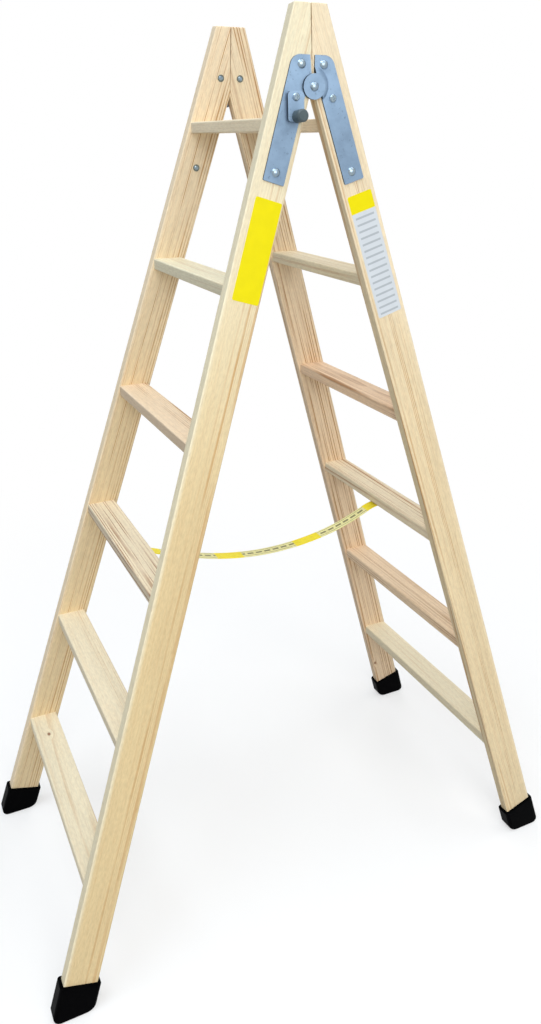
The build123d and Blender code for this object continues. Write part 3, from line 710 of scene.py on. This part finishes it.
def plating_group():
    """Cloudy plating with specks, brushing and pits, dark on cut edges with painted shade, and with a painted
    highlight round the pin.
    """
    if "Zinc Plating" in bpy.data.node_groups:
        return bpy.data.node_groups["Zinc Plating"]
    tree, given, result = new_group(
        "Zinc Plating",
        [
            ("Place", "Vector", (0, 0, 0)), ("Facing", "Vector", (0, 1, 0)),
            ("Clear", "Color", (0.4, 0.45, 0.5, 1)), ("Cloudy", "Color", (0.3, 0.33, 0.4, 1)),
            ("Cut", "Color", (0.01, 0.01, 0.02, 1)), ("Clouds", "Float", 60.0), ("Shine", "Float", 0.35),
            ("Cut Edge And Shade", "Float", 0.0), ("Painted Highlight", "Float", 0.0),
        ],
        [("Color", "Color"), ("Roughness", "Float"), ("Height", "Float")],
    )
    place = given["Place"]
    clouds = noise(tree, place, given["Clouds"], 4.0, 0.6)
    specks = noise(tree, place, SPECK_WAVES, 1.0)
    brushing = drawn_noise(tree, place, BRUSH_WAVES, 2.0, 0.6)
    speckled = maths(tree, "SUBTRACT", specks, 0.5)
    share = clamp(tree, maths(tree, "MULTIPLY_ADD", speckled, SPECK_SHARE, ease(tree, clouds, *CLOUD_SPAN)))
    # The sheet's sides, turned away from its faces, are darkened: partly bare cut steel, partly painted shade
    turned = maths(tree, "ABSOLUTE", add(tree, "ShaderNodeSeparateXYZ", {0: given["Facing"]}).outputs["Y"])
    cut = maths(tree, "MULTIPLY", ease(tree, turned, *CUT_TURN, 1.0, 0.0), given["Cut Edge And Shade"])
    # Painted highlight: the plating is made brighter round the pin
    from_pin = vectors(tree, "MULTIPLY", vectors(tree, "SUBTRACT", place, (0, 0, PIN_HEIGHT)), (1, 0, 1))
    near_pin = ease(tree, vectors(tree, "LENGTH", from_pin, out="Value"), *PIN_HIGHLIGHT_PLACE, 1.0, 0.0)
    brightened = maths(tree, "MULTIPLY_ADD", near_pin, given["Painted Highlight"], 1.0)
    pits = ease(tree, noise(tree, place, PIT_WAVES), *PIT_SPAN, 1.0, PIT_SHADE)
    plated = mix(tree, share, given["Clear"], given["Cloudy"])
    plated = scaled(tree, plated, maths(tree, "MULTIPLY", brightened, pits))
    dulled = maths(tree, "MULTIPLY_ADD", clouds, CLOUD_ROUGHNESS, given["Shine"])
    brushed = maths(tree, "MULTIPLY_ADD", maths(tree, "SUBTRACT", brushing, 0.5), BRUSH_ROUGHNESS, dulled)
    tree.links.new(mix(tree, cut, plated, given["Cut"]), result["Color"])
    tree.links.new(brushed, result["Roughness"])
    tree.links.new(maths(tree, "MULTIPLY_ADD", specks, SPECK_RELIEF, brushing), result["Height"])
    return tree


def plated_material(name, clear, cloudy, clouds, shine, metal, depth, cut=0.0, brightened=0.0):
    """A plated steel finish, with a sheet's cut edges darker with painted shade and a painted highlight round
    the pin.
    """
    made, tree, shader = new_material(name)
    values = {
        "Place": object_place(tree), "Facing": add(tree, "ShaderNodeTexCoord").outputs["Normal"],
        "Clear": (*clear, 1), "Cloudy": (*cloudy, 1), "Cut": (*bpy.context.scene.ladder_metal.cut_edge_and_shade, 1),
        "Clouds": clouds, "Shine": shine, "Cut Edge And Shade": cut, "Painted Highlight": brightened,
    }
    lay(tree, shader, plating_group(), values, strength=depth, distance=0.0002)
    shader.inputs["Metallic"].default_value = metal
    return made


class STEPLADDER_OT_hinges(bpy.types.Operator):
    """Give the hinge leaves, catch and fasteners their plating"""

    bl_idname = "stepladder.hinges"
    bl_label = "Finish hinges and fasteners"

    def execute(self, context):
        finish = context.scene.ladder_metal
        # The leaves get a painted highlight round the pin and painted shade on their cut edges
        zinc = plated_material(
            "zinc_sheet", finish.zinc, finish.zinc_dull,
            clouds=45.0, shine=0.48, metal=0.75, depth=0.1, cut=0.95, brightened=0.26,
        )
        bright = plated_material(
            "bright_fasteners", finish.bright, finish.zinc,
            clouds=220.0, shine=0.24, metal=0.95, depth=0.08,
        )
        washers = plated_material(
            "dull_washers", finish.dull_clear, finish.dull,
            clouds=300.0, shine=0.38, metal=0.85, depth=0.1,
        )
        for node in ZINC_NODES:
            dress(node, zinc)
        for node in BRIGHT_NODES:
            dress(node, bright)
        for node in WASHER_NODES:
            dress(node, washers)
        return {"FINISHED"}


def moulded_group():
    """Fine moulded texture with a dull bloom of dust."""
    if "Moulded" in bpy.data.node_groups:
        return bpy.data.node_groups["Moulded"]
    tree, given, result = new_group(
        "Moulded",
        [
            ("Place", "Vector", (0, 0, 0)), ("Base", "Color", (0.02, 0.02, 0.02, 1)),
            ("Dust", "Color", (0.1, 0.1, 0.1, 1)), ("Dust Amount", "Float", 0.3), ("Shine", "Float", 0.4),
        ],
        [("Color", "Color"), ("Roughness", "Float"), ("Height", "Float")],
    )
    pores = noise(tree, given["Place"], PORE_WAVES)
    patches = noise(tree, given["Place"], DUST_WAVES, 4.0, 0.6)
    dust = maths(tree, "MULTIPLY", ease(tree, patches, *DUST_SPAN), given["Dust Amount"])
    rough = maths(tree, "MULTIPLY_ADD", patches, DUST_ROUGHNESS, given["Shine"])
    tree.links.new(mix(tree, dust, given["Base"], given["Dust"]), result["Color"])
    tree.links.new(maths(tree, "MULTIPLY_ADD", pores, PORE_ROUGHNESS, rough), result["Roughness"])
    tree.links.new(pores, result["Height"])
    return tree


def moulded_material(name, base, dust, amount, shine, specular):
    """A moulded rubber or plastic finish."""
    made, tree, shader = new_material(name)
    values = {
        "Place": object_place(tree), "Base": (*base, 1), "Dust": (*dust, 1),
        "Dust Amount": amount, "Shine": shine,
    }
    lay(tree, shader, moulded_group(), values, strength=0.12, distance=0.0003)
    shader.inputs["Specular IOR Level"].default_value = specular
    return made


class STEPLADDER_OT_feet(bpy.types.Operator):
    """Give the four feet their rubber and the catch its moulded knob"""

    bl_idname = "stepladder.feet"
    bl_label = "Finish feet and knob"

    def execute(self, context):
        metal, soft = context.scene.ladder_metal, context.scene.ladder_soft
        rubber = moulded_material(
            "foot_rubber", soft.rubber, soft.rubber_dust, amount=0.3, shine=0.26, specular=0.012,
        )
        for node in FOOT_NODES:
            dress(node, rubber)
        knob = moulded_material(
            "knob_plastic", metal.knob, metal.knob_dust, amount=0.5, shine=0.32, specular=0.5,
        )
        dress("catch_knob", knob)
        return {"FINISHED"}


def route_points():
    """Points along the strap's smooth line, read from a curve through its route."""
    curve = bpy.data.curves.new("strap_line", "CURVE")
    curve.dimensions = "3D"
    curve.resolution_u = STRAP_STEPS
    spline = curve.splines.new("NURBS")
    spline.points.add(len(STRAP_ROUTE) - 1)
    for point, (x, z) in zip(spline.points, STRAP_ROUTE):
        point.co = (x, 0, z, 1)
    spline.order_u = 3
    spline.use_endpoint_u = True
    holder = bpy.data.objects.new("strap_line", curve)
    line = bpy.data.meshes.new_from_object(holder)
    points = [vertex.co.copy() for vertex in line.vertices]
    bpy.data.objects.remove(holder)
    bpy.data.curves.remove(curve)
    bpy.data.meshes.remove(line)
    return points


def webbing_section(width, thick):
    """Outline of the webbing across its length, with full woven edges, as places across and up."""
    half, rise = width / 2, thick / 2
    upper = [(-half * across, up) for across, up in STRAP_SECTION]
    upper += [(-across, up) for across, up in reversed(upper[:-1])]
    lower = [(across, -up) for across, up in reversed(upper)]
    return [(across, up * rise) for across, up in upper + lower]


def webbing_mesh(points, width, thick):
    """Webbing swept along a line, with a map of places across it and along it in metres."""
    section = webbing_section(width, thick)
    mesh = bpy.data.meshes.new("safety_strap_webbing")
    shape = bmesh.new()
    rings, lengths, run = [], [], 0.0
    for number, point in enumerate(points):
        before, after = points[max(number - 1, 0)], points[min(number + 1, len(points) - 1)]
        up = Vector((0, -1, 0)).cross((after - before).normalized())
        if number:
            run += (point - points[number - 1]).length
        lengths.append(run)
        places = [point + Vector((0, across, 0)) + up * rise for across, rise in section]
        rings.append([shape.verts.new(place) for place in places])
    layer = shape.loops.layers.uv.new("Webbing")
    count = len(section)
    for number in range(len(points) - 1):
        for side in range(count):
            beside = (side + 1) % count
            corners = ((number, side), (number + 1, side), (number + 1, beside), (number, beside))
            face = shape.faces.new([rings[ring][place] for ring, place in corners])
            face.smooth = True
            for loop, (ring, place) in zip(face.loops, corners):
                loop[layer].uv = (section[place][0], lengths[ring])
    for ring in (rings[0], rings[-1]):
        shape.faces.new(ring)
    bmesh.ops.recalc_face_normals(shape, faces=shape.faces)
    shape.to_mesh(mesh)
    shape.free()
    return mesh


def webbing_material(soft):
    """Woven yellow webbing with printed stretches of plain dashes."""
    made, tree, shader = new_material("webbing")
    spot = map_place(tree, "Webbing")
    across, along = spot["X"], spot["Y"]

    # A plain stretch, then a printed one
    started = maths(tree, "SUBTRACT", along, PRINT_START)
    step = maths(tree, "FRACT", maths(tree, "DIVIDE", started, PRINT_REPEAT))
    print_area = plateau(tree, step, (PLAIN_SHARE, PLAIN_SHARE + PRINT_SOFTNESS), (1 - PRINT_SOFTNESS, 1.0))
    off_middle = maths(tree, "ABSOLUTE", across)
    dash = maths(tree, "FRACT", maths(tree, "DIVIDE", along, DASH_REPEAT))
    dashes = plateau(tree, dash, DASH_RISE, DASH_FALL)
    dashes = maths(tree, "MULTIPLY", dashes, ease(tree, off_middle, *DASH_HALF_WIDTH, 1.0, 0.0))
    rules = plateau(tree, off_middle, RULE_INNER, RULE_OUTER)
    marks = maths(tree, "MULTIPLY", maths(tree, "MAXIMUM", dashes, rules), print_area)

    # Plain weave: warp cords along the strap, weft picks across it
    warp = maths(tree, "SINE", maths(tree, "MULTIPLY", across, math.tau / WARP_WIDTH))
    weft = maths(tree, "SINE", maths(tree, "MULTIPLY", along, math.tau / WEFT_WIDTH))
    weave = maths(tree, "MULTIPLY_ADD", maths(tree, "MULTIPLY", warp, weft), 0.5, 0.5)
    wear = noise(tree, object_place(tree), WEAR_WAVES, 3.0)
    base = mix(tree, print_area, soft.strap, soft.strap_pale)
    base = mix(tree, maths(tree, "MULTIPLY", marks, MARK_STRENGTH), base, soft.strap_mark)
    # Painted shade in the hollows of the weave, times the webbing's own wear
    woven = ease(tree, weave, *WEAVE_SPAN, *WEAVE_SHADES)
    shading = maths(tree, "MULTIPLY", woven, ease(tree, wear, *WEAR_SPAN, *WEAR_SHADES))
    rough = maths(tree, "MULTIPLY_ADD", weave, WEAVE_GLOSS, WEBBING_ROUGHNESS)
    normal = bump(tree, weave, strength=0.5, distance=0.0004)
    feed(tree, shader, Base_Color=scaled(tree, base, shading), Roughness=rough, Normal=normal)
    shader.inputs["Sheen Weight"].default_value = 0.15
    return made


class STEPLADDER_OT_safety_strap(bpy.types.Operator):
    """Weave the slack strap between the two middle treads"""

    bl_idname = "stepladder.safety_strap"
    bl_label = "Make safety strap"

    def execute(self, context):
        soft = context.scene.ladder_soft
        points = route_points()
        mesh = webbing_mesh(points, soft.strap_width, soft.strap_thick)
        strap = bpy.data.objects.new("safety_strap_webbing", mesh)
        context.scene.collection.objects.link(strap)
        strap.data.materials.append(webbing_material(soft))
        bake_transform(strap)
        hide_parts("safety_strap")
        return {"FINISHED"}


def label_mesh(name, node, down, across):
    """Thin sheet with rounded corners, stuck to a stile's outer face, with a map from 0 to 1."""
    origin, right, inward, along = stile_axes(node)
    outline = []
    inset = (LABEL_CORNER, -LABEL_CORNER)
    for turn, (d, a) in enumerate(((1, 1), (0, 1), (0, 0), (1, 0))):
        centre = Vector((across[a] + inset[a], down[d] + inset[d]))
        for step in range(CORNER_STEPS + 1):
            angle = math.radians(90 * (turn + step / CORNER_STEPS))
            outline.append(centre + LABEL_CORNER * Vector((math.sin(angle), math.cos(angle))))
    shape = bmesh.new()
    layer = shape.loops.layers.uv.new("Label")
    top = [shape.verts.new(origin + right * u + along * v - inward * LABEL_LIFT) for u, v in outline]
    face = shape.faces.new(top)
    for loop, (u, v) in zip(face.loops, outline):
        loop[layer].uv = ((u - across[0]) / (across[1] - across[0]), (v - down[0]) / (down[1] - down[0]))
    extruded = bmesh.ops.extrude_face_region(shape, geom=[face])
    lowered = [entry for entry in extruded["geom"] if isinstance(entry, bmesh.types.BMVert)]
    bmesh.ops.translate(shape, verts=lowered, vec=inward * (LABEL_LIFT - LABEL_GAP))
    bmesh.ops.recalc_face_normals(shape, faces=shape.faces)
    mesh = bpy.data.meshes.new(name)
    shape.to_mesh(mesh)
    shape.free()
    return mesh


def label_material(soft, name, main, band=0.0, rules=0.0):
    """Printed vinyl with a plain yellow band at its top, faint rules below it and soft ripples with painted
    light and shade.
    """
    made, tree, shader = new_material(name)
    spot = map_place(tree, "Label")
    place = object_place(tree)
    row = maths(tree, "FRACT", maths(tree, "MULTIPLY", spot["Y"], LABEL_RULES))
    inset = maths(tree, "ABSOLUTE", maths(tree, "SUBTRACT", spot["X"], 0.5))
    ruled = plateau(tree, row, LABEL_RULE_RISE, LABEL_RULE_FALL)
    ruled = maths(tree, "MULTIPLY", ruled, ease(tree, inset, *LABEL_MARGIN, rules, 0.0))
    below = ease(tree, spot["Y"], band - BAND_SOFTNESS, band + BAND_SOFTNESS)
    colour = mix(tree, below, soft.label_yellow, mix(tree, ruled, main, soft.label_rule))
    ripple = noise(tree, place, RIPPLE_WAVES)
    grain = noise(tree, place, VINYL_WAVES, 1.0)
    # Painted light and shade of the vinyl's ripples
    shade = scaled(tree, colour, ease(tree, ripple, *RIPPLE_SPAN, *RIPPLE_SHADES))
    rough = maths(tree, "MULTIPLY_ADD", grain, 0.1, VINYL_ROUGHNESS)
    normal = bump(tree, maths(tree, "MULTIPLY_ADD", grain, 0.1, ripple), strength=0.12, distance=0.001)
    feed(tree, shader, Base_Color=shade, Roughness=rough, Normal=normal)
    shader.inputs["Specular IOR Level"].default_value = 0.2
    return made


class STEPLADDER_OT_labels(bpy.types.Operator):
    """Stick the two blank labels to the near stiles"""

    bl_idname = "stepladder.labels"
    bl_label = "Make labels"

    def execute(self, context):
        soft = context.scene.ladder_soft
        plain = label_material(soft, "label_yellow", soft.label_yellow)
        ruled = label_material(soft, "label_white", soft.label_white, LABEL_BAND, LABEL_RULE_STRENGTH)
        wanted = (
            ("label_yellow", "stile_near_left", "left_frame", *YELLOW_LABEL, plain),
            ("label_white", "stile_near_right", "right_frame", *WHITE_LABEL, ruled),
        )
        for name, stile, body, down, across, material in wanted:
            label = bpy.data.objects.new(name, label_mesh(name, stile, down, across))
            context.scene.collection.objects.link(label)
            label.data.materials.append(material)
            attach(label, body)
        return {"FINISHED"}


def seen_directly(tree):
    """1 for what the camera, a reflection or glass shows, and 0 for light on its way round the scene."""
    path = add(tree, "ShaderNodeLightPath").outputs
    seen = maths(tree, "MAXIMUM", path["Is Camera Ray"], path["Is Glossy Ray"])
    return maths(tree, "MAXIMUM", seen, path["Is Transmission Ray"])


def floor_material(stage):
    """White to the camera with the ladder's shadow near it, and a weaker bounce of light."""
    made = bpy.data.materials.new("floor_pale")
    made.use_nodes = True
    tree = made.node_tree
    tree.nodes.clear()
    away = vectors(tree, "LENGTH", object_place(tree), out="Value")
    near = add(tree, "ShaderNodeBsdfDiffuse", {"Color": (*stage.floor, 1)}).outputs[0]
    white = add(tree, "ShaderNodeEmission", {"Color": (*WHITE, 1), "Strength": 1.0}).outputs[0]
    bounce = add(tree, "ShaderNodeBsdfDiffuse", {"Color": (*stage.floor_bounce, 1)}).outputs[0]
    whiter = ease(tree, away, *SHADOW_FADE, SHADOW_WHITENING, 1.0)
    shown = add(tree, "ShaderNodeMixShader", {0: whiter, 1: near, 2: white}).outputs[0]
    surface = add(tree, "ShaderNodeMixShader", {0: seen_directly(tree), 1: bounce, 2: shown}).outputs[0]
    add(tree, "ShaderNodeOutputMaterial", {"Surface": surface})
    return made


def light_room(stage):
    """Even light from all round, in front of a white background."""
    world = bpy.data.worlds.new("studio")
    bpy.context.scene.world = world
    world.use_nodes = True
    tree = world.node_tree
    tree.nodes.clear()
    around = {"Color": (*PALE_BLUE, 1), "Strength": stage.ambient}
    ambient = add(tree, "ShaderNodeBackground", around).outputs[0]
    white = add(tree, "ShaderNodeBackground", {"Color": (*WHITE, 1), "Strength": 1.0}).outputs[0]
    surface = add(tree, "ShaderNodeMixShader", {0: seen_directly(tree), 1: ambient, 2: white}).outputs[0]
    add(tree, "ShaderNodeOutputWorld", {"Surface": surface})


def soft_light(name, place, size, power, colour, glare=True):
    """A large square lamp that faces the ladder, with or without a reflection in shiny surfaces."""
    lamp = bpy.data.lights.new(name, "AREA")
    lamp.size = size
    lamp.energy = power
    lamp.color = colour
    holder = bpy.data.objects.new(name, lamp)
    holder.location = place
    holder.rotation_euler = (LAMP_AIM - Vector(place)).to_track_quat("-Z", "Y").to_euler()
    holder.visible_glossy = glare
    bpy.context.scene.collection.objects.link(holder)


class STEPLADDER_OT_stage(bpy.types.Operator):
    """Lay the floor, set the lights and place the camera as in the photograph"""

    bl_idname = "stepladder.stage"
    bl_label = "Set the stage"

    def execute(self, context):
        scene, stage = context.scene, context.scene.ladder_stage
        mesh = bpy.data.meshes.new("floor")
        sides = ((-1, -1), (1, -1), (1, 1), (-1, 1))
        corners = [(x * FLOOR_REACH, y * FLOOR_REACH, 0) for x, y in sides]
        mesh.from_pydata(corners, [], [(0, 1, 2, 3)])
        floor = bpy.data.objects.new("floor", mesh)
        scene.collection.objects.link(floor)
        mesh.materials.append(floor_material(stage))
        light_room(stage)
        soft_light("key_light", KEY_PLACE, LAMP_SIZE, stage.key_power, WARM_WHITE)
        soft_light("sky_light", SKY_PLACE, LAMP_SIZE, stage.sky_power, SKY_BLUE)
        soft_light("top_light", TOP_PLACE, LAMP_SIZE, stage.top_power, WHITE)
        soft_light("back_light", BACK_PLACE, BACK_LAMP_SIZE, stage.back_power, WHITE, glare=False)
        lens = bpy.data.cameras.new("camera")
        lens.lens = stage.focal_pixels / PHOTO_HEIGHT * lens.sensor_width
        lens.shift_y = (stage.middle_row - PHOTO_HEIGHT / 2) / PHOTO_HEIGHT
        camera = bpy.data.objects.new("camera", lens)
        camera.location = stage.camera_place
        camera.rotation_euler = (math.pi / 2 - stage.camera_tilt, 0, -stage.camera_heading)
        scene.collection.objects.link(camera)
        scene.camera = camera
        scene.view_settings.view_transform = "Standard"
        return {"FINISHED"}


class STEPLADDER_PT_panel(bpy.types.Panel):
    """The stepladder's pieces and settings"""

    bl_label = "Stepladder"
    bl_idname = "STEPLADDER_PT_panel"
    bl_space_type = "VIEW_3D"
    bl_region_type = "UI"
    bl_category = "Stepladder"

    def draw(self, context):
        for operator in OPERATORS:
            self.layout.operator(operator.bl_idname)
        for group in SETTINGS:
            box = self.layout.box()
            held = getattr(context.scene, group)
            for name in held.__annotations__:
                box.prop(held, name)


SETTINGS = {
    "ladder_pine": PineFinish,
    "ladder_metal": MetalFinish,
    "ladder_soft": SoftFinish,
    "ladder_stage": StageSettings,
}
OPERATORS = (
    STEPLADDER_OT_safety_strap,
    STEPLADDER_OT_stiles,
    STEPLADDER_OT_treads,
    STEPLADDER_OT_hinges,
    STEPLADDER_OT_feet,
    STEPLADDER_OT_labels,
    STEPLADDER_OT_stage,
)


def register():
    for group, settings in SETTINGS.items():
        bpy.utils.register_class(settings)
        setattr(bpy.types.Scene, group, PointerProperty(type=settings))
    for operator in OPERATORS:
        bpy.utils.register_class(operator)
    bpy.utils.register_class(STEPLADDER_PT_panel)


def unregister():
    bpy.utils.unregister_class(STEPLADDER_PT_panel)
    for operator in reversed(OPERATORS):
        bpy.utils.unregister_class(operator)
    for group, settings in SETTINGS.items():
        delattr(bpy.types.Scene, group)
        bpy.utils.unregister_class(settings)


def main():
    """Register the add-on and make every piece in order."""
    register()
    bpy.ops.stepladder.safety_strap()
    bpy.ops.stepladder.stiles()
    bpy.ops.stepladder.treads()
    bpy.ops.stepladder.hinges()
    bpy.ops.stepladder.feet()
    bpy.ops.stepladder.labels()
    bpy.ops.stepladder.stage()
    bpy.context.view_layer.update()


if __name__ == "__main__":
    main()
